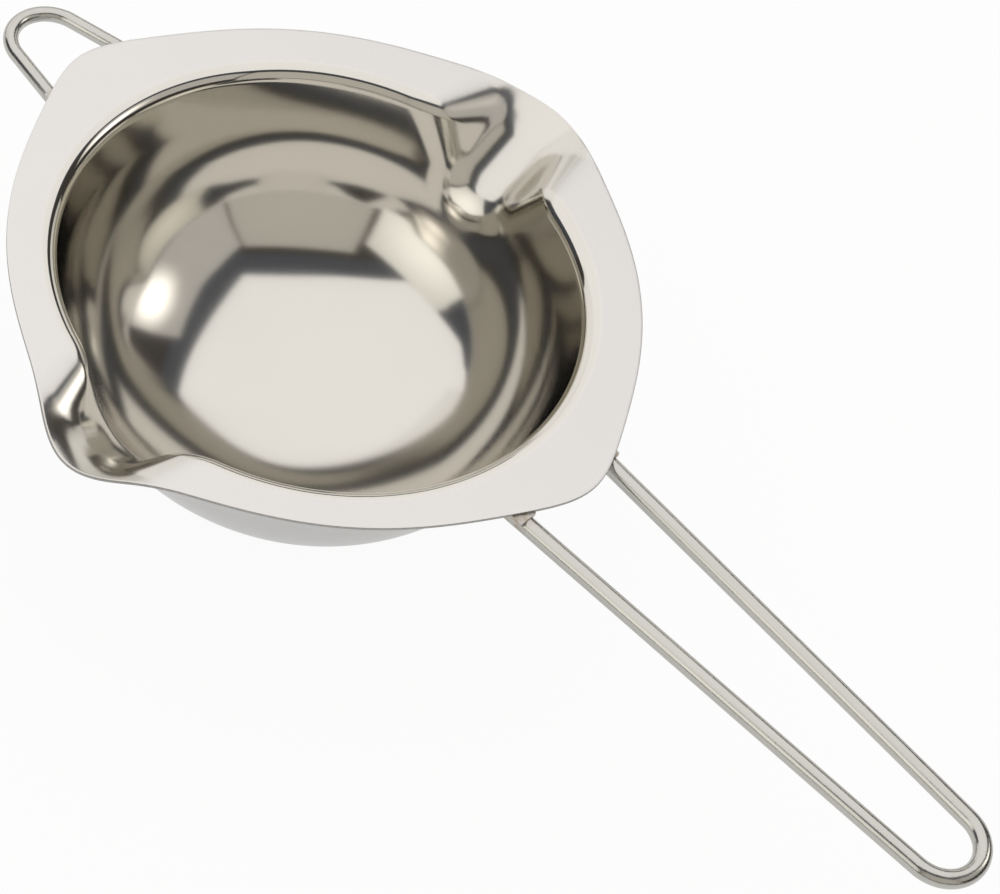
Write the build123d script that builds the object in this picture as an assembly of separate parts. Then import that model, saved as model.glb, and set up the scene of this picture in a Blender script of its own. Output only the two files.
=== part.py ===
from build123d import *
from math import asin, atan2, cos, hypot, radians, sin, tan
import os

# Wax melting pot pressed from one sheet, with a long wire handle and a short wire hanging loop.
# mm, +Z up. Origin at the centre of the base's underside. +X runs to the handle, the spouts are on +Y and -Y.

# sheet and bowl, inside sizes
sheet = 0.7
opening_radius = 60.0
rim_bend = 3.5
depth = 53.0
floor_flat = 5.0
floor_dish = 58.0
floor_inset = 23.0
floor_reach = opening_radius - floor_inset
base_bend_inset = 19.0
base_bend = opening_radius - base_bend_inset

# flange: the blank is trimmed a little off the bowl's axis, with two ears on X and two tongues on Y
flange_shift_x = -0.4
flange_shift_y = 2.0
flange_width = 6.5
flange_radius = opening_radius + flange_width
ear_reach = 8.3
ear_angle = 15.0
ear_turn = -1.0
tongue_reach = 11.0
tongue_angle = 13.2
outline_step = 7.5

# spout: a rounded vee pressed along a rising line
spout_root_inset = 4.5
spout_root = opening_radius - spout_root_inset
spout_depth = 16.5
spout_slope = 33.0
spout_bend = 6.5
spout_flank = 56.0
spout_inset = 8.0

# handle: one wire bent to a long hairpin
handle_wire = 4.0
handle_root_gap = 2.5
handle_root = opening_radius + handle_root_gap
handle_half_gap = 13.3
handle_angle = 2.45
handle_reach = 184.0
handle_turn = -3.4

# hanging loop: one thinner wire, opposite the handle
loop_wire = 3.4
loop_root_gap = 2.5
loop_root = opening_radius + loop_root_gap
loop_half_gap = 13.4
loop_angle = 12.2
loop_reach = 92.3
loop_turn = 180.7

# welds that hold each wire leg under the flange, measured along X from the leg's end
weld_gap = 0.25
weld_length = 3.6
weld_overhang = 0.35
weld_height = 1.2
weld_bend = 0.3
first_weld = 2.6
weld_pitch = 5.2
welds_per_leg = 2

top = depth + sheet
half_turn = 180
full_turn = 360
flange_place = Pos(flange_shift_x, flange_shift_y, 0)


def on_arc(centre, radius, slope):
    """Point where a circle's lower side has this slope; a negative radius gives the upper side."""
    return (centre[0] + radius * sin(slope), centre[1] - radius * cos(slope))


def bowl_skin(offset):
    """Half section from the flange to the axis. Offset 0 is the inside face, sheet is the outside face."""
    rim_centre = (opening_radius, top - rim_bend)
    dish_centre = (floor_flat, sheet + floor_dish)
    dish_slope = asin((floor_reach - floor_flat) / floor_dish)
    base_centre = on_arc(dish_centre, floor_dish - base_bend, dish_slope)
    across = rim_centre[0] - base_centre[0]
    up = rim_centre[1] - base_centre[1]
    wall_slope = atan2(up, across) + asin((base_bend + rim_bend) / hypot(across, up))
    rim = offset - rim_bend
    base = base_bend + offset
    dish = floor_dish + offset
    flange_end = on_arc(rim_centre, rim, 0)
    wall_top = on_arc(rim_centre, rim, wall_slope)
    wall_end = on_arc(base_centre, base, wall_slope)
    base_end = on_arc(base_centre, base, dish_slope)
    dish_end = on_arc(dish_centre, dish, 0)
    rim_arc = ThreePointArc(flange_end, on_arc(rim_centre, rim, wall_slope / 2), wall_top)
    wall = Line(wall_top, wall_end)
    base_arc = ThreePointArc(wall_end, on_arc(base_centre, base, (wall_slope + dish_slope) / 2), base_end)
    dish_arc = ThreePointArc(base_end, on_arc(dish_centre, dish, dish_slope / 2), dish_end)
    return [rim_arc, wall, base_arc, dish_arc, Line(dish_end, (0, dish_end[1]))]


def turned(edges):
    """Solid of revolution about Z from a closed section given in (radius, height)."""
    return revolve(Plane.XZ * make_face(edges), Axis.Z)


def bowl_shell():
    inside = bowl_skin(0)
    outside = bowl_skin(sheet)
    ends = [Line(inside[0] @ 0, outside[0] @ 0), Line(inside[-1] @ 1, outside[-1] @ 1)]
    return turned(inside + outside + ends)


def bowl_hollow():
    inside = bowl_skin(0)
    lid = [Line(inside[0] @ 0, (0, top)), Line((0, top), inside[-1] @ 1)]
    return turned(inside + lid)


def outline_radius(angle):
    """Reach of the flange at an angle in degrees from +X."""
    def near(centre, spread):
        away = (angle - centre + half_turn) % full_turn - half_turn
        return 1 / (1 + (away / spread) ** 2)
    ears = ear_reach * (near(ear_turn, ear_angle) + near(half_turn, ear_angle))
    tongues = tongue_reach * (near(90, tongue_angle) + near(270, tongue_angle))
    return flange_radius + ears + tongues


def flange_blank(low, high):
    """Everything inside the flange's outline between two heights."""
    steps = round(full_turn / outline_step)
    angles = [k * outline_step for k in range(steps)]
    points = [(outline_radius(a) * cos(radians(a)), outline_radius(a) * sin(radians(a))) for a in angles]
    outline = make_face(Spline(*points, periodic=True))
    return flange_place * Pos(0, 0, low) * extrude(outline, high - low)


def trough(skin):
    """Sloping rounded vee on the +Y side, grown by skin: the inside of the spout when skin is 0."""
    slope = radians(spout_slope)
    flank = radians(spout_flank)
    start = spout_root - spout_inset
    bottom = top - spout_depth - spout_inset * tan(slope)
    radius = spout_bend + skin
    centre_z = bottom + spout_bend
    side_x = radius * sin(flank)
    side_z = centre_z - radius * cos(flank)
    rise = top + spout_depth - side_z
    edge_x = side_x + rise / tan(flank)
    vee = [
        ThreePointArc((-side_x, side_z), (0, centre_z - radius), (side_x, side_z)),
        Line((side_x, side_z), (edge_x, side_z + rise)),
        Line((edge_x, side_z + rise), (-edge_x, side_z + rise)),
        Line((-edge_x, side_z + rise), (-side_x, side_z)),
    ]
    length = (flange_radius + tongue_reach) / cos(slope)
    face = Plane.XZ * make_face(vee)
    return flange_place * Pos(0, start, 0) * extrude(face, length, dir=(0, cos(slope), sin(slope)))


def bowl():
    skin = sheet / cos(radians(spout_slope))
    flange = flange_blank(depth, top) - Cylinder(opening_radius, 4 * top)
    pot = bowl_shell() + flange
    within = flange_blank(0, top) - bowl_hollow()
    for side in (0, half_turn):
        turn = flange_place * Rot(0, 0, side) * flange_place.inverse()
        pot += (turn * trough(skin)) & within
        pot -= turn * trough(0)
    return pot


def hairpin(root, half_gap, taper, reach, wire, turn):
    """Two straight legs closing by taper degrees each, joined by a round end, lying just under the flange."""
    lean = radians(taper)
    bend = (half_gap * cos(lean) - (reach - root) * sin(lean)) / (1 - sin(lean))
    end_x = reach - bend + bend * sin(lean)
    end_y = bend * cos(lean)
    path = Wire([
        Line((root, half_gap), (end_x, end_y)),
        ThreePointArc((end_x, end_y), (reach, 0), (end_x, -end_y)),
        Line((end_x, -end_y), (root, -half_gap)),
    ])
    section = Plane(origin=path @ 0, z_dir=path % 0) * Circle(wire / 2)
    height = depth - weld_gap - wire / 2
    return flange_place * Rot(0, 0, turn) * Pos(0, 0, height) * sweep(section, path=path)


def welds(wire_solid, root, half_gap, taper, wire, turn):
    """Small beads that fill between each leg and the flange."""
    beads = []
    for side in (1, -1):
        for k in range(welds_per_leg):
            along = first_weld + k * weld_pitch
            bead = Box(weld_length, wire + 2 * weld_overhang, weld_height)
            bead = fillet(bead.edges().filter_by(Axis.Z) + bead.edges().group_by(Axis.Z)[0], weld_bend)
            x = root + along
            y = side * (half_gap - along * tan(radians(taper)))
            place = Pos(x, y, depth - weld_height / 2) * Rot(0, 0, -side * taper)
            beads.append(flange_place * Rot(0, 0, turn) * place * bead - wire_solid)
    return Compound(children=beads)


handle_sizes = (handle_root, handle_half_gap, handle_angle)
loop_sizes = (loop_root, loop_half_gap, loop_angle)
handle = hairpin(*handle_sizes, handle_reach, handle_wire, handle_turn)
loop = hairpin(*loop_sizes, loop_reach, loop_wire, loop_turn)
nodes = {
    "bowl": bowl(),
    "handle_wire": handle,
    "hanging_loop": loop,
    "handle_welds": welds(handle, *handle_sizes, handle_wire, handle_turn),
    "loop_welds": welds(loop, *loop_sizes, loop_wire, loop_turn),
}

os.makedirs("parts", exist_ok=True)
for name, solid in nodes.items():
    export_step(solid, f"parts/{name}.step")
    print(name, round(solid.volume, 1))
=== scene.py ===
from math import asin, atan2, cos, hypot, pi, radians, sin, tan

import bmesh
import bpy
import numpy as np
from mathutils import Matrix, Vector


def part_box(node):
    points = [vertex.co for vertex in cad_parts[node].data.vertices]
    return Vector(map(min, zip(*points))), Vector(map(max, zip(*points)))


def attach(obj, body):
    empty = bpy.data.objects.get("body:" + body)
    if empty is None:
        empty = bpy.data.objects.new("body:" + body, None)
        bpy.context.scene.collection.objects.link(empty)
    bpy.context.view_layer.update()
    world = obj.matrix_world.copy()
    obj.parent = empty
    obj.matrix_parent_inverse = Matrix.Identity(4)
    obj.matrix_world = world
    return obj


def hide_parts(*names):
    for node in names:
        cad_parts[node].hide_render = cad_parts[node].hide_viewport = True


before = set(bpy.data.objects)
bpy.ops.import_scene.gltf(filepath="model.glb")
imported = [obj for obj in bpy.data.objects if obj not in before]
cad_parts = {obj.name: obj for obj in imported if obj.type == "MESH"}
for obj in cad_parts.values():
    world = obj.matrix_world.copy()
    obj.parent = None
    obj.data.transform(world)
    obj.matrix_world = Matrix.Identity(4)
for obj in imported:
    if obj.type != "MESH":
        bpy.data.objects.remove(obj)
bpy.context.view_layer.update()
mm = 0.001
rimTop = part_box("bowl")[1].z  # the flange's upper face
print("frame loaded, flange at", round(rimTop / mm, 2), "mm")


# bowl

pressing = {
    "sheet": 0.7 * mm,
    "openingRadius": 60.0 * mm,
    "rimBend": 3.5 * mm,
    "floorFlat": 5.0 * mm,
    "floorDish": 58.0 * mm,
    "floorReach": 37.0 * mm,
    "baseBend": 41.0 * mm,
    "spokes": 400,
    "ringsBelow": 44,
    "ringsAbove": 70,
    "plainHeight": 30.0 * mm,  # the spouts leave the wall untouched below this
    "bendPull": 5.0 * mm,  # rings gather where the section turns
    "cutBevel": 0.12 * mm,
    "cutSegments": 2,
    "cutAngle": radians(60),
    "mergeDistance": 0.001 * mm,
}

# rays that find the pressed face: where they start and end, and how they close in on it
probe = {
    "eyeHeight": 55 * mm,
    "reach": 84 * mm,
    "count": 700,
    "steps": 110,
    "longest": 3 * mm,
    "smoothing": 9,
}

trim = {
    "shift": (-0.4 * mm, 2.0 * mm),  # the blank is trimmed a little off the bowl's axis
    "radius": 66.5 * mm,
    "earReach": 8.3 * mm,
    "earSpread": radians(15.0),
    "earTurn": radians(-1.0),
    "tongueReach": 11.0 * mm,
    "tongueSpread": radians(13.2),
    "rounds": 30,
    "pull": 0.8,
}

spout = {
    "root": 55.5 * mm,
    "depth": 16.5 * mm,
    "slope": radians(33.0),
    "bend": 10.0 * mm,
    "flank": radians(61.0),
    "lipDrop": 1.4 * mm,
    "lipBlend": 4.0 * mm,
    "mouthBlend": 4.5 * mm,
    "edgeBlend": 4.0 * mm,
    "lipReach": 70.0 * mm,
    "start": 47.5 * mm,  # the trough ends towards the bowl's axis here
    "fade": 1.5,
}


def softMin(a, b, width):
    # the smaller of two depths, rounded over where they are nearly equal
    overlap = np.clip(width - np.abs(a - b), 0, None) / width
    return np.minimum(a, b) - overlap * overlap * width / 4


def potDepth(x, y, z):
    # how deep a point lies in the metal below the pressed face; negative in the open
    p = pressing
    rimZ = rimTop - p["rimBend"]
    dishX, dishZ = p["floorFlat"], p["sheet"] + p["floorDish"]
    dishSlope = asin((p["floorReach"] - dishX) / p["floorDish"])
    lift = p["floorDish"] - p["baseBend"]
    baseX, baseZ = dishX + lift * sin(dishSlope), dishZ - lift * cos(dishSlope)
    away = (p["openingRadius"] - baseX, rimZ - baseZ)
    wallSlope = atan2(away[1], away[0]) + asin((p["baseBend"] + p["rimBend"]) / hypot(*away))

    def beyond(centreX, centreZ, slope):
        return (r - centreX) * cos(slope) + (z - centreZ) * sin(slope) > 0

    r = np.hypot(x, y)
    floor = p["sheet"] - z
    dish = np.hypot(r - dishX, z - dishZ) - p["floorDish"]
    base = np.hypot(r - baseX, z - baseZ) - p["baseBend"]
    wall = (r - baseX) * sin(wallSlope) - (z - baseZ) * cos(wallSlope) - p["baseBend"]
    rim = p["rimBend"] - np.hypot(r - p["openingRadius"], z - rimZ)
    flange = rimTop - z
    plain = np.select(
        [
            r >= p["openingRadius"],
            beyond(p["openingRadius"], rimZ, wallSlope),
            beyond(baseX, baseZ, wallSlope),
            beyond(baseX, baseZ, dishSlope),
            r >= dishX,
        ],
        [np.where(z < rimZ, np.minimum(flange, wall), flange), rim, wall, base, dish],
        floor,
    )
    for way in (1, -1):
        out = way * (y - trim["shift"][1])
        trough = spoutDepth(x - trim["shift"][0], out, z)
        nearLip = np.clip((out - spout["root"]) / (spout["lipReach"] - spout["root"]), 0, 1)
        plain = softMin(plain, trough, spout["mouthBlend"] + nearLip * spout["edgeBlend"])
    return plain


def spoutDepth(across, out, z):
    # a rounded vee whose floor rises outwards and turns level at the lip
    s = spout
    rising = rimTop - s["depth"] + (out - s["root"]) * tan(s["slope"])
    floor = softMin(rising, rimTop - s["lipDrop"] + 0 * out, s["lipBlend"])
    side, up = np.abs(across), z - floor - s["bend"]
    onFlank = side * cos(s["flank"]) + up * sin(s["flank"]) > 0
    flankDepth = side * sin(s["flank"]) - up * cos(s["flank"]) - s["bend"]
    depth = np.where(onFlank, flankDepth, np.hypot(side, up) - s["bend"]) * cos(s["slope"])
    return depth + s["fade"] * np.clip(s["start"] - out, 0, None)


def trimRadius(angles):
    # reach of the trimmed edge from the bowl's axis
    t = trim
    radius = np.full_like(angles, t["radius"])

    def near(turn, centre, spread):
        away = (turn - centre + pi) % (2 * pi) - pi
        return 1 / (1 + (away / spread) ** 2)

    for _ in range(t["rounds"]):
        x = radius * np.cos(angles) - t["shift"][0]
        y = radius * np.sin(angles) - t["shift"][1]
        turn = np.arctan2(y, x)
        ears = t["earReach"] * (near(turn, t["earTurn"], t["earSpread"]) + near(turn, pi, t["earSpread"]))
        tongues = t["tongueReach"] * (
            near(turn, pi / 2, t["tongueSpread"]) + near(turn, -pi / 2, t["tongueSpread"])
        )
        radius = radius + t["pull"] * (t["radius"] + ears + tongues - np.hypot(x, y))
    return radius


def pressedGrid():
    # rays from a point above the pot find the pressed face, then rings are spaced along each spoke
    p = pressing
    angles = np.arange(p["spokes"]) * 2 * pi / p["spokes"]
    eye = rimTop + probe["eyeHeight"]
    lowest = atan2(eye - rimTop, probe["reach"])
    pitch = np.linspace(-pi / 2, -lowest, probe["count"])[None, :]
    ca, sa = np.cos(angles)[:, None], np.sin(angles)[:, None]
    travel = np.zeros((p["spokes"], pitch.shape[1]))
    for _ in range(probe["steps"]):
        r, z = travel * np.cos(pitch), eye + travel * np.sin(pitch)
        travel -= np.clip(potDepth(r * ca, r * sa, z), -probe["longest"], probe["longest"])
    r, z = travel * np.cos(pitch), eye + travel * np.sin(pitch)

    step = np.hypot(np.diff(r), np.diff(z))
    heading = np.unwrap(np.arctan2(np.diff(z), np.diff(r)))
    turn = np.abs(np.diff(heading, prepend=heading[:, :1]))
    kernel = np.ones(probe["smoothing"]) / probe["smoothing"]
    turn = np.apply_along_axis(lambda row: np.convolve(row, kernel, "same"), 1, turn)
    pace = np.concatenate([np.zeros((p["spokes"], 1)), np.cumsum(step + p["bendPull"] * turn, 1)], 1)

    reach = trimRadius(angles)
    grid = np.zeros((p["spokes"], p["ringsBelow"] + p["ringsAbove"] + 1, 3))
    for k in range(p["spokes"]):
        wall = np.argmax(z[k] > p["plainHeight"])
        middle = np.interp(p["plainHeight"], z[k, wall - 2 : wall + 2], pace[k, wall - 2 : wall + 2])
        end = np.interp(reach[k], r[k], pace[k])
        below = np.linspace(0, middle, p["ringsBelow"] + 1)[:-1]
        at = np.concatenate([below, np.linspace(middle, end, p["ringsAbove"] + 1)])
        rr, zz = np.interp(at, pace[k], r[k]), np.interp(at, pace[k], z[k])
        rr[0] = 0
        grid[k] = np.stack([rr * np.cos(angles[k]), rr * np.sin(angles[k]), zz], 1)
    return grid


def newPiece(name, bm, materials, body="root"):
    mesh = bpy.data.meshes.new(name)
    bm.normal_update()
    for face in bm.faces:
        face.smooth = True
    bm.to_mesh(mesh)
    bm.free()
    piece = bpy.data.objects.new(name, mesh)
    bpy.context.scene.collection.objects.link(piece)
    for material in materials:
        mesh.materials.append(material)
    if body:
        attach(piece, body)
    return piece


def pressedBowl(materials):
    p = pressing
    grid = pressedGrid()
    bm = bmesh.new()
    ringOf = bm.verts.layers.int.new("ring")
    chain = [bm.verts.new(point) for point in grid[0]]
    for ring, vert in enumerate(chain):
        vert[ringOf] = ring
    edges = [bm.edges.new(pair) for pair in zip(chain, chain[1:])]
    bmesh.ops.spin(
        bm,
        geom=chain + edges,
        cent=(0, 0, 0),
        axis=(0, 0, 1),
        angle=2 * pi,
        steps=p["spokes"],
        use_merge=True,
    )
    bmesh.ops.remove_doubles(bm, verts=bm.verts[:], dist=p["mergeDistance"])
    spokeStep = 2 * pi / p["spokes"]
    for vert in bm.verts:
        spoke = round(atan2(vert.co.y, vert.co.x) / spokeStep) % p["spokes"] if vert[ringOf] else 0
        vert.co = grid[spoke, vert[ringOf]]
    bmesh.ops.recalc_face_normals(bm, faces=bm.faces[:])
    bm.normal_update()
    bm.faces.ensure_lookup_table()
    if bm.faces[0].normal.z < 0:
        bmesh.ops.reverse_faces(bm, faces=bm.faces[:])
    piece = newPiece("pressed_bowl", bm, materials)
    wall = piece.modifiers.new("sheet", "SOLIDIFY")
    wall.thickness = p["sheet"]
    wall.offset = -1
    wall.material_offset = 1
    wall.material_offset_rim = 2
    cut = piece.modifiers.new("cut edge", "BEVEL")
    cut.width = p["cutBevel"]
    cut.segments = p["cutSegments"]
    cut.limit_method = "ANGLE"
    cut.angle_limit = p["cutAngle"]
    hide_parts("bowl")


# wires

handle = {
    "node": "handle_wire",
    "wire": 4.0 * mm,
    "root": 62.5 * mm,
    "halfGap": 13.3 * mm,
    "taper": radians(2.45),
    "reach": 184.0 * mm,
    "turn": radians(-3.4),
    "bendSteps": 40,
}

loop = {
    "node": "hanging_loop",
    "wire": 3.4 * mm,
    "root": 62.5 * mm,
    "halfGap": 13.4 * mm,
    "taper": radians(12.2),
    "reach": 92.3 * mm,
    "turn": radians(180.7),
    "bendSteps": 40,
}
wireSides = 36
endBevel = 0.5 * mm


def extrudeAlong(bm, edges, move):
    made = bmesh.ops.extrude_edge_only(bm, edges=edges)["geom"]
    verts = [item for item in made if isinstance(item, bmesh.types.BMVert)]
    bmesh.ops.translate(bm, verts=verts, vec=move)
    return [item for item in made if isinstance(item, bmesh.types.BMEdge)]


def hairpin(name, settings, material):
    s = settings
    low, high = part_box(s["node"])
    lean = s["taper"]
    bend = (s["halfGap"] * cos(lean) - (s["reach"] - s["root"]) * sin(lean)) / (1 - sin(lean))
    centre = Vector((s["reach"] - bend, 0, 0))
    straight = (centre.x + bend * sin(lean) - s["root"]) / cos(lean)

    bm = bmesh.new()
    ring = bmesh.ops.create_circle(bm, cap_ends=False, radius=s["wire"] / 2, segments=wireSides)["verts"]
    toLeg = Matrix.Translation((s["root"], s["halfGap"], 0)) @ Matrix.Rotation(-lean, 4, "Z")
    toLeg = toLeg @ Matrix.Rotation(pi / 2, 4, "Y")
    bmesh.ops.transform(bm, matrix=toLeg, verts=ring)
    start = bm.edges[:]
    leg = Vector((straight * cos(lean), -straight * sin(lean), 0))
    edges = extrudeAlong(bm, start, leg)
    turned = bmesh.ops.spin(
        bm,
        geom=edges,
        cent=centre,
        axis=(0, 0, -1),
        angle=pi - 2 * lean,
        steps=s["bendSteps"],
    )["geom_last"]
    edges = [item for item in turned if isinstance(item, bmesh.types.BMEdge)]
    back = Vector((-straight * cos(lean), -straight * sin(lean), 0))
    end = extrudeAlong(bm, edges, back)
    caps = [bmesh.ops.contextual_create(bm, geom=rim)["faces"] for rim in (start, end)]
    bmesh.ops.bevel(
        bm,
        geom=[edge for faces in caps for edge in faces[0].edges],
        offset=endBevel,
        segments=3,
        profile=0.5,
        affect="EDGES",
        material=-1,
    )
    bmesh.ops.recalc_face_normals(bm, faces=bm.faces[:])
    place = Matrix.Translation((trim["shift"][0], trim["shift"][1], (low.z + high.z) / 2))
    bmesh.ops.transform(bm, matrix=place @ Matrix.Rotation(s["turn"], 4, "Z"), verts=bm.verts[:])
    piece = newPiece(name, bm, [material])
    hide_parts(s["node"])


# shader maths


class Field:
    # a socket that adds its Math nodes when it is used in an expression
    def __init__(self, finish, socket):
        self.finish, self.socket = finish, socket

    def math(self, operation, *others, clamp=False):
        inputs = {k + 1: other for k, other in enumerate(others)}
        settings = {"operation": operation, "use_clamp": clamp}
        return self.finish.node("ShaderNodeMath", settings, {0: self, **inputs})

    def __add__(self, other):
        return self.math("ADD", other)

    def __sub__(self, other):
        return self.math("SUBTRACT", other)

    def __rsub__(self, other):
        return self.finish.node("ShaderNodeMath", {"operation": "SUBTRACT"}, {0: other, 1: self})

    def __mul__(self, other):
        return self.math("MULTIPLY", other)

    def __pow__(self, other):
        return self.math("POWER", other)

    def smooth(self, low, high):
        inputs = {"Value": self, "From Min": low, "From Max": high}
        return self.finish.node("ShaderNodeMapRange", {"interpolation_type": "SMOOTHSTEP"}, inputs)

    __radd__ = __add__
    __rmul__ = __mul__


class Finish:
    # a node tree with one way of adding nodes
    def __init__(self, tree):
        self.tree = tree

    def node(self, kind, settings=None, inputs=None, output=0):
        made = self.tree.nodes.new(kind)
        for key, value in (settings or {}).items():
            if key == "stops":
                ramp = made.color_ramp.elements
                while len(ramp) < len(value):
                    ramp.new(1.0)
                for element, (position, colour) in zip(ramp, value):
                    element.position, element.color = position, (*colour, 1)
            else:
                setattr(made, key, value)
        for key, value in (inputs or {}).items():
            self.plug(made.inputs[key], value)
        return Field(self, made.outputs[output]) if made.outputs else None

    def plug(self, socket, value):
        if isinstance(value, Field):
            self.tree.links.new(value.socket, socket)
        elif socket.type == "RGBA":
            socket.default_value = (*value, 1)
        else:
            socket.default_value = value

    def mix(self, amount, first, second):
        settings = {"data_type": "RGBA"}
        return self.node("ShaderNodeMix", settings, {0: amount, 6: first, 7: second}, output=2)

    def place(self):
        return self.node("ShaderNodeTexCoord", output="Object")

    def noise(self, scale, detail=2.0, roughness=0.5, stretch=(1, 1, 1)):
        at = self.node("ShaderNodeMapping", {}, {"Vector": self.place(), "Scale": stretch})
        inputs = {"Vector": at, "Scale": scale, "Detail": detail, "Roughness": roughness}
        return self.node("ShaderNodeTexNoise", {}, inputs)

    def split(self, vector):
        first = self.node("ShaderNodeSeparateXYZ", {}, {0: vector})
        outputs = first.socket.node.outputs
        return [Field(self, outputs[k]) for k in range(3)]


def metal(name):
    # a metal to which colour, roughness and bump are added
    material = bpy.data.materials.new(name)
    material.use_nodes = True
    shader = material.node_tree.nodes["Principled BSDF"]
    shader.inputs["Metallic"].default_value = 1
    return material, Finish(material.node_tree), shader


# finishes

steel = {
    "bright": (0.665, 0.645, 0.600),
    "warm": (0.640, 0.617, 0.565),
    "satin": (0.722, 0.711, 0.694),
    "satinDark": (0.682, 0.671, 0.654),
    "mirrorRoughness": 0.05,
    "lowRoughness": 0.045,
    "spoutRoughness": 0.09,
    "flangeRoughness": 0.27,
    "grain": 2600.0,
    "flatBelow": (1.6 * mm, 0.2 * mm),  # the flange's finish comes in between these depths
    "flatBeyond": (-0.6 * mm, 0.9 * mm),  # and between these distances past the opening
    "lowHeights": (14 * mm, 44 * mm),
    "spoutReaches": (49 * mm, 58 * mm),
    "spoutHeights": (30 * mm, 38 * mm),
}


def pressedSteel():
    # mirror inside the bowl and the spouts, satin on the flat of the flange
    material, finish, shader = metal("pressed_steel")
    x, y, z = finish.split(finish.place())
    reach = (x * x + y * y) ** 0.5
    flat = z.smooth(*(rimTop - below for below in steel["flatBelow"]))
    outside = reach.smooth(*(pressing["openingRadius"] + beyond for beyond in steel["flatBeyond"]))
    flange = flat * outside
    cloud = finish.noise(38.0, detail=3.0)
    grain = finish.noise(steel["grain"], detail=2.0)
    inside = finish.mix(cloud, steel["bright"], steel["warm"])
    satin = finish.mix(grain, steel["satinDark"], steel["satin"])
    finish.plug(shader.inputs["Base Color"], finish.mix(flange, inside, satin))
    low = 1 - z.smooth(*steel["lowHeights"])
    pressedOut = y.math("ABSOLUTE").smooth(*steel["spoutReaches"]) * z.smooth(*steel["spoutHeights"])
    polish = steel["mirrorRoughness"] + steel["lowRoughness"] * low
    polish = polish + steel["spoutRoughness"] * pressedOut + 0.02 * cloud + 0.03 * grain
    matte = steel["flangeRoughness"] + 0.08 * grain + 0.05 * cloud
    finish.plug(shader.inputs["Roughness"], polish + flange * (matte - polish))
    wave = finish.noise(22.0, detail=1.0)
    height = wave * 0.05 + grain * (0.0006 + flange * 0.004)
    bump = finish.node("ShaderNodeBump", {}, {"Strength": 0.35, "Distance": 0.001, "Height": height})
    finish.plug(shader.inputs["Normal"], bump)
    return material


outsideFace = {"dark": (0.60, 0.60, 0.60), "light": (0.67, 0.665, 0.65), "roughness": 0.12, "lines": 9.0}


def outsideSteel():
    # the outer face keeps fine turning lines from polishing
    material, finish, shader = metal("outside_steel")
    o = outsideFace
    lines = finish.noise(o["lines"], detail=4.0, roughness=0.7, stretch=(1, 1, 90))
    cloud = finish.noise(30.0, detail=2.0)
    finish.plug(shader.inputs["Base Color"], finish.mix(cloud, o["dark"], o["light"]))
    finish.plug(shader.inputs["Roughness"], o["roughness"] + 0.1 * lines + 0.04 * cloud)
    bump = finish.node("ShaderNodeBump", {}, {"Strength": 0.15, "Distance": 0.0003, "Height": lines})
    finish.plug(shader.inputs["Normal"], bump)
    return material


cutEdge = {"dark": (0.28, 0.27, 0.26), "light": (0.50, 0.49, 0.47), "roughness": 0.28, "tears": 900.0}


def cutSteel():
    # sheared edge of the blank
    material, finish, shader = metal("cut_steel")
    c = cutEdge
    tears = finish.noise(c["tears"], detail=3.0, stretch=(1, 1, 0.2))
    finish.plug(shader.inputs["Base Color"], finish.mix(tears, c["dark"], c["light"]))
    finish.plug(shader.inputs["Roughness"], c["roughness"] + 0.2 * tears)
    bump = finish.node("ShaderNodeBump", {}, {"Strength": 0.3, "Distance": 0.0001, "Height": tears})
    finish.plug(shader.inputs["Normal"], bump)
    return material


drawnWire = {
    "dark": (0.49, 0.48, 0.45),
    "light": (0.60, 0.59, 0.553),
    "tint": (0.30, 0.17, 0.09),
    "tinted": (70 * mm, 75 * mm),  # the heat tint fades between these distances from the bowl's axis
    "tintShare": 0.55,
    "roughness": 0.13,
}


def wireSteel():
    # drawn wire, with brown heat tint where it meets its welds
    material, finish, shader = metal("drawn_wire")
    x, y, _ = finish.split(finish.place())
    w = drawnWire
    drawn = finish.noise(60.0, detail=4.0, roughness=0.65, stretch=(0.05, 6, 6))
    fine = finish.noise(1500.0, detail=2.0)
    plain = finish.mix(drawn, w["dark"], w["light"])
    reach = (x * x + y * y) ** 0.5
    heat = 1 - reach.smooth(*w["tinted"])
    patch = (heat * finish.noise(300.0, detail=3.0).smooth(0.4, 0.6)) * w["tintShare"]
    finish.plug(shader.inputs["Base Color"], finish.mix(patch, plain, w["tint"]))
    finish.plug(shader.inputs["Roughness"], w["roughness"] + 0.08 * drawn + 0.04 * fine + 0.1 * patch)
    height = drawn + fine * 0.3
    bump = finish.node("ShaderNodeBump", {}, {"Strength": 0.2, "Distance": 0.0002, "Height": height})
    finish.plug(shader.inputs["Normal"], bump)
    return material


weldBead = {
    "brown": (0.22, 0.14, 0.09),
    "straw": (0.50, 0.44, 0.36),
    "grey": (0.62, 0.60, 0.57),
    "blue": (0.38, 0.40, 0.45),
    "spots": 420.0,
    "roughness": 0.35,
}


def weldSteel():
    # grey bead metal with specks of brown and blue heat colour
    material, finish, shader = metal("weld_steel")
    w = weldBead
    spots = finish.noise(w["spots"], detail=4.0)
    stops = [(0.30, w["brown"]), (0.42, w["straw"]), (0.55, w["grey"]), (0.80, w["blue"])]
    tint = finish.node("ShaderNodeValToRGB", {"stops": stops}, {0: spots})
    finish.plug(shader.inputs["Base Color"], tint)
    finish.plug(shader.inputs["Roughness"], w["roughness"] + 0.3 * spots)
    bump = finish.node("ShaderNodeBump", {}, {"Strength": 0.5, "Distance": 0.0004, "Height": spots})
    finish.plug(shader.inputs["Normal"], bump)
    return material


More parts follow.
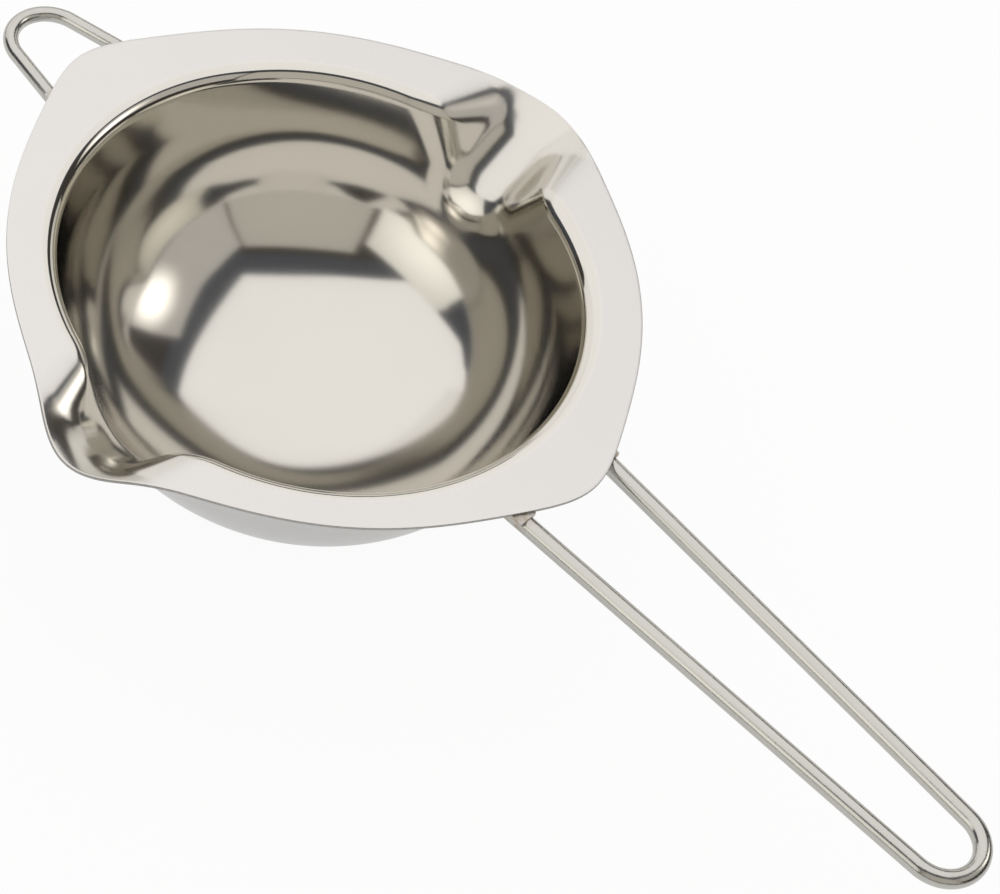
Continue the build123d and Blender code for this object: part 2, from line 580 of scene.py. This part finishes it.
pressedBowl([pressedSteel(), outsideSteel(), cutSteel()])
print("bowl made")
wire = wireSteel()
hairpin("handle_hairpin", handle, wire)
hairpin("hanging_hairpin", loop, wire)
print("wires made")
weld = weldSteel()
for node in ("handle_welds", "loop_welds"):
    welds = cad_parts[node]
    for slot in welds.material_slots:
        slot.material = weld
print("welds finished")


# stage: white ground, one large six-sided light overhead and reflector cards around the pot

ground = {
    "colour": 0.86,
    "plain": 0.93,  # share of plain white that the camera sees
    "mirrored": 0.5,  # the same share in reflections
    "near": 0.30,
    "far": 0.85,
    "dim": (0.10, 0.09, 0.08),
    "drop": 0.2 * mm,
    "half": 6,
}

overhead = {
    "height": 1.2,
    "centre": (-1.02, 0.336),
    "radius": 1.716,
    "sides": 6,
    "turn": radians(-37.6),
    "rim": 0.36,
    "rimLift": 0.01,
    "colour": (1.17, 1.15, 1.14),
    "rimColour": (0.085, 0.09, 0.105),
    "spotSize": 1.6,
    "glow": 0.02,
}

room = {"seen": (0.93, 0.93, 0.925), "mirrored": (0.06, 0.054, 0.048)}

# each card: azimuth and distance of its middle, half width, lowest and highest edge, colour,
# and how much brighter it glows around one place
cards = [
    {"name": "bright_card", "turn": 31, "away": 1.0, "half": 0.70, "low": 0.42, "high": 1.26,
     "colour": (0.55, 0.53, 0.50), "spot": (0.38, 0.68), "spotSize": 0.38, "glow": 4.0},
    {"name": "beige_card", "turn": -39, "away": 1.0, "half": 0.66, "low": 0.12, "high": 1.30,
     "colour": (0.58, 0.555, 0.50), "spot": (0.0, 0.5), "spotSize": 0.9, "glow": 0.05},
    {"name": "cream_card", "turn": -103, "away": 1.0, "half": 0.52, "low": 0.12, "high": 0.92,
     "colour": (0.95, 0.93, 0.87), "spot": (0.0, 0.35), "spotSize": 0.7, "glow": 0.5},
    {"name": "dark_card", "turn": -140, "away": 1.1, "half": 0.45, "low": 0.22, "high": 0.66,
     "colour": (0.075, 0.08, 0.095), "spot": (0.0, 0.4), "spotSize": 0.6, "glow": 0.02},
    {"name": "low_card", "turn": 126, "away": 1.3, "half": 1.60, "low": 0.10, "high": 0.54,
     "colour": (0.62, 0.61, 0.58), "spot": (-0.5, 0.4), "spotSize": 1.3, "glow": 0.5},
    {"name": "side_card", "turn": 162, "away": 1.28, "half": 0.62, "low": 0.10, "high": 1.02,
     "colour": (1.02, 1.00, 0.98), "spot": (0.0, 0.6), "spotSize": 0.9, "glow": 0.1},
    {"name": "dark_seam", "turn": -74.5, "away": 0.98, "half": 0.03, "low": 0.12, "high": 0.85,
     "colour": (0.12, 0.10, 0.09), "spot": (0.0, 0.4), "spotSize": 0.6, "glow": 0.01},
]


def stagePiece(name, bm, material):
    piece = newPiece(name, bm, [material], body=None)
    return piece


def groundMaterial():
    # near white to the camera with a faint shadow; in reflections it darkens away from the pot
    material = bpy.data.materials.new("ground")
    material.use_nodes = True
    finish = Finish(material.node_tree)
    finish.tree.nodes.clear()
    seen = finish.node("ShaderNodeLightPath")
    rays = seen.socket.node.outputs
    through = Field(finish, rays["Is Glossy Ray"]) + Field(finish, rays["Is Transmission Ray"])
    shown = Field(finish, rays["Is Camera Ray"]) * ground["plain"] + through * ground["mirrored"]
    paper = finish.noise(4.0, detail=2.0) * 0.01 + (ground["colour"] - 0.005)
    lit = finish.node("ShaderNodeBsdfDiffuse", {}, {"Color": paper})
    x, y, _ = finish.split(finish.place())
    away = ((x * x + y * y) ** 0.5).smooth(ground["near"], ground["far"])
    mirrored = Field(finish, rays["Is Glossy Ray"]) * away
    paperWhite = finish.node("ShaderNodeEmission", {}, {"Color": (1, 1, 1), "Strength": 1.0})
    dim = finish.node("ShaderNodeEmission", {}, {"Color": ground["dim"], "Strength": 1.0})
    white = finish.node("ShaderNodeMixShader", {}, {0: mirrored, 1: paperWhite, 2: dim})
    both = finish.node("ShaderNodeMixShader", {}, {0: shown, 1: lit, 2: white})
    finish.node("ShaderNodeOutputMaterial", {}, {"Surface": both})
    return material


def glowMaterial(name, colour, spot, size, glow):
    # cloth-like panel, brighter around one place
    material = bpy.data.materials.new(name)
    material.use_nodes = True
    finish = Finish(material.node_tree)
    finish.tree.nodes.clear()
    ends = {0: finish.place(), 1: spot}
    away = finish.node("ShaderNodeVectorMath", {"operation": "DISTANCE"}, ends, output=1)
    near = 1 - away.smooth(0.0, size)
    cloth = finish.noise(3.0, detail=2.0) * 0.04
    plain = finish.node("ShaderNodeEmission", {}, {"Color": colour, "Strength": 1.0})
    hot = finish.node("ShaderNodeEmission", {}, {"Color": colour, "Strength": 1.0 + glow})
    light = finish.node("ShaderNodeMixShader", {}, {0: near.math("ADD", cloth, clamp=True), 1: plain, 2: hot})
    finish.node("ShaderNodeOutputMaterial", {}, {"Surface": light})
    return material


def overheadLight():
    o = overhead
    for name, radius, height, colour in (
        ("overhead_light", o["radius"], o["height"], o["colour"]),
        ("overhead_rim", o["radius"] + o["rim"], o["height"] + o["rimLift"], o["rimColour"]),
    ):
        bm = bmesh.new()
        bmesh.ops.create_circle(bm, cap_ends=True, radius=radius, segments=o["sides"])
        place = Matrix.Translation((*o["centre"], height)) @ Matrix.Rotation(o["turn"], 4, "Z")
        bmesh.ops.transform(bm, matrix=place, verts=bm.verts[:])
        material = glowMaterial(name, colour, (*o["centre"], height), o["spotSize"], o["glow"])
        panel = stagePiece(name, bm, material)
        panel.visible_camera = False


def addCards():
    for card in cards:
        turn = radians(card["turn"])
        bm = bmesh.new()
        bmesh.ops.create_grid(bm, x_segments=1, y_segments=1, size=1)
        size = Matrix.Diagonal((card["half"], (card["high"] - card["low"]) / 2, 1, 1))
        stand = Matrix.Rotation(pi / 2, 4, "X")
        face = Matrix.Rotation(turn - pi / 2, 4, "Z")
        middle = Matrix.Translation((0, card["away"], (card["low"] + card["high"]) / 2))
        bmesh.ops.transform(bm, matrix=face @ middle @ stand @ size, verts=bm.verts[:])
        spot = face @ Vector((-card["spot"][0], card["away"], card["spot"][1]))
        material = glowMaterial(card["name"], card["colour"], spot, card["spotSize"], card["glow"])
        panel = stagePiece(card["name"], bm, material)
        panel.visible_camera = False


def addGround():
    bm = bmesh.new()
    bmesh.ops.create_grid(bm, x_segments=1, y_segments=1, size=ground["half"])
    bmesh.ops.translate(bm, verts=bm.verts[:], vec=(0, 0, -ground["drop"]))
    stagePiece("ground", bm, groundMaterial())


def addWorld():
    world = bpy.data.worlds.new("studio")
    bpy.context.scene.world = world
    world.use_nodes = True
    finish = Finish(world.node_tree)
    finish.tree.nodes.clear()
    seen = finish.node("ShaderNodeLightPath").socket.node.outputs
    pale = finish.node("ShaderNodeBackground", {}, {"Color": room["seen"], "Strength": 1.0})
    dark = finish.node("ShaderNodeBackground", {}, {"Color": room["mirrored"], "Strength": 1.0})
    both = finish.node("ShaderNodeMixShader", {}, {0: Field(finish, seen["Is Glossy Ray"]), 1: pale, 2: dark})
    finish.node("ShaderNodeOutputWorld", {}, {"Surface": both})


addGround()
addWorld()
overheadLight()
addCards()
print("stage set")

# camera

view = {
    "place": (213.57 * mm, -365.86 * mm, rimTop + 476.3 * mm),
    "right": (0.73947, 0.63226, 0.23113),
    "up": (-0.62238, 0.51126, 0.59266),
    "lens": 108.0,
    "sensor": 36.0,
}


def addCamera():
    data = bpy.data.cameras.new("camera")
    data.lens = view["lens"]
    data.sensor_width = view["sensor"]
    data.clip_start = 0.01
    camera = bpy.data.objects.new("camera", data)
    bpy.context.scene.collection.objects.link(camera)
    right, up = Vector(view["right"]).normalized(), Vector(view["up"])
    up = (up - right * up.dot(right)).normalized()
    turn = Matrix((right, up, right.cross(up))).transposed().to_4x4()
    camera.matrix_world = Matrix.Translation(view["place"]) @ turn
    bpy.context.scene.camera = camera


addCamera()
bpy.context.scene.view_settings.view_transform = "Standard"
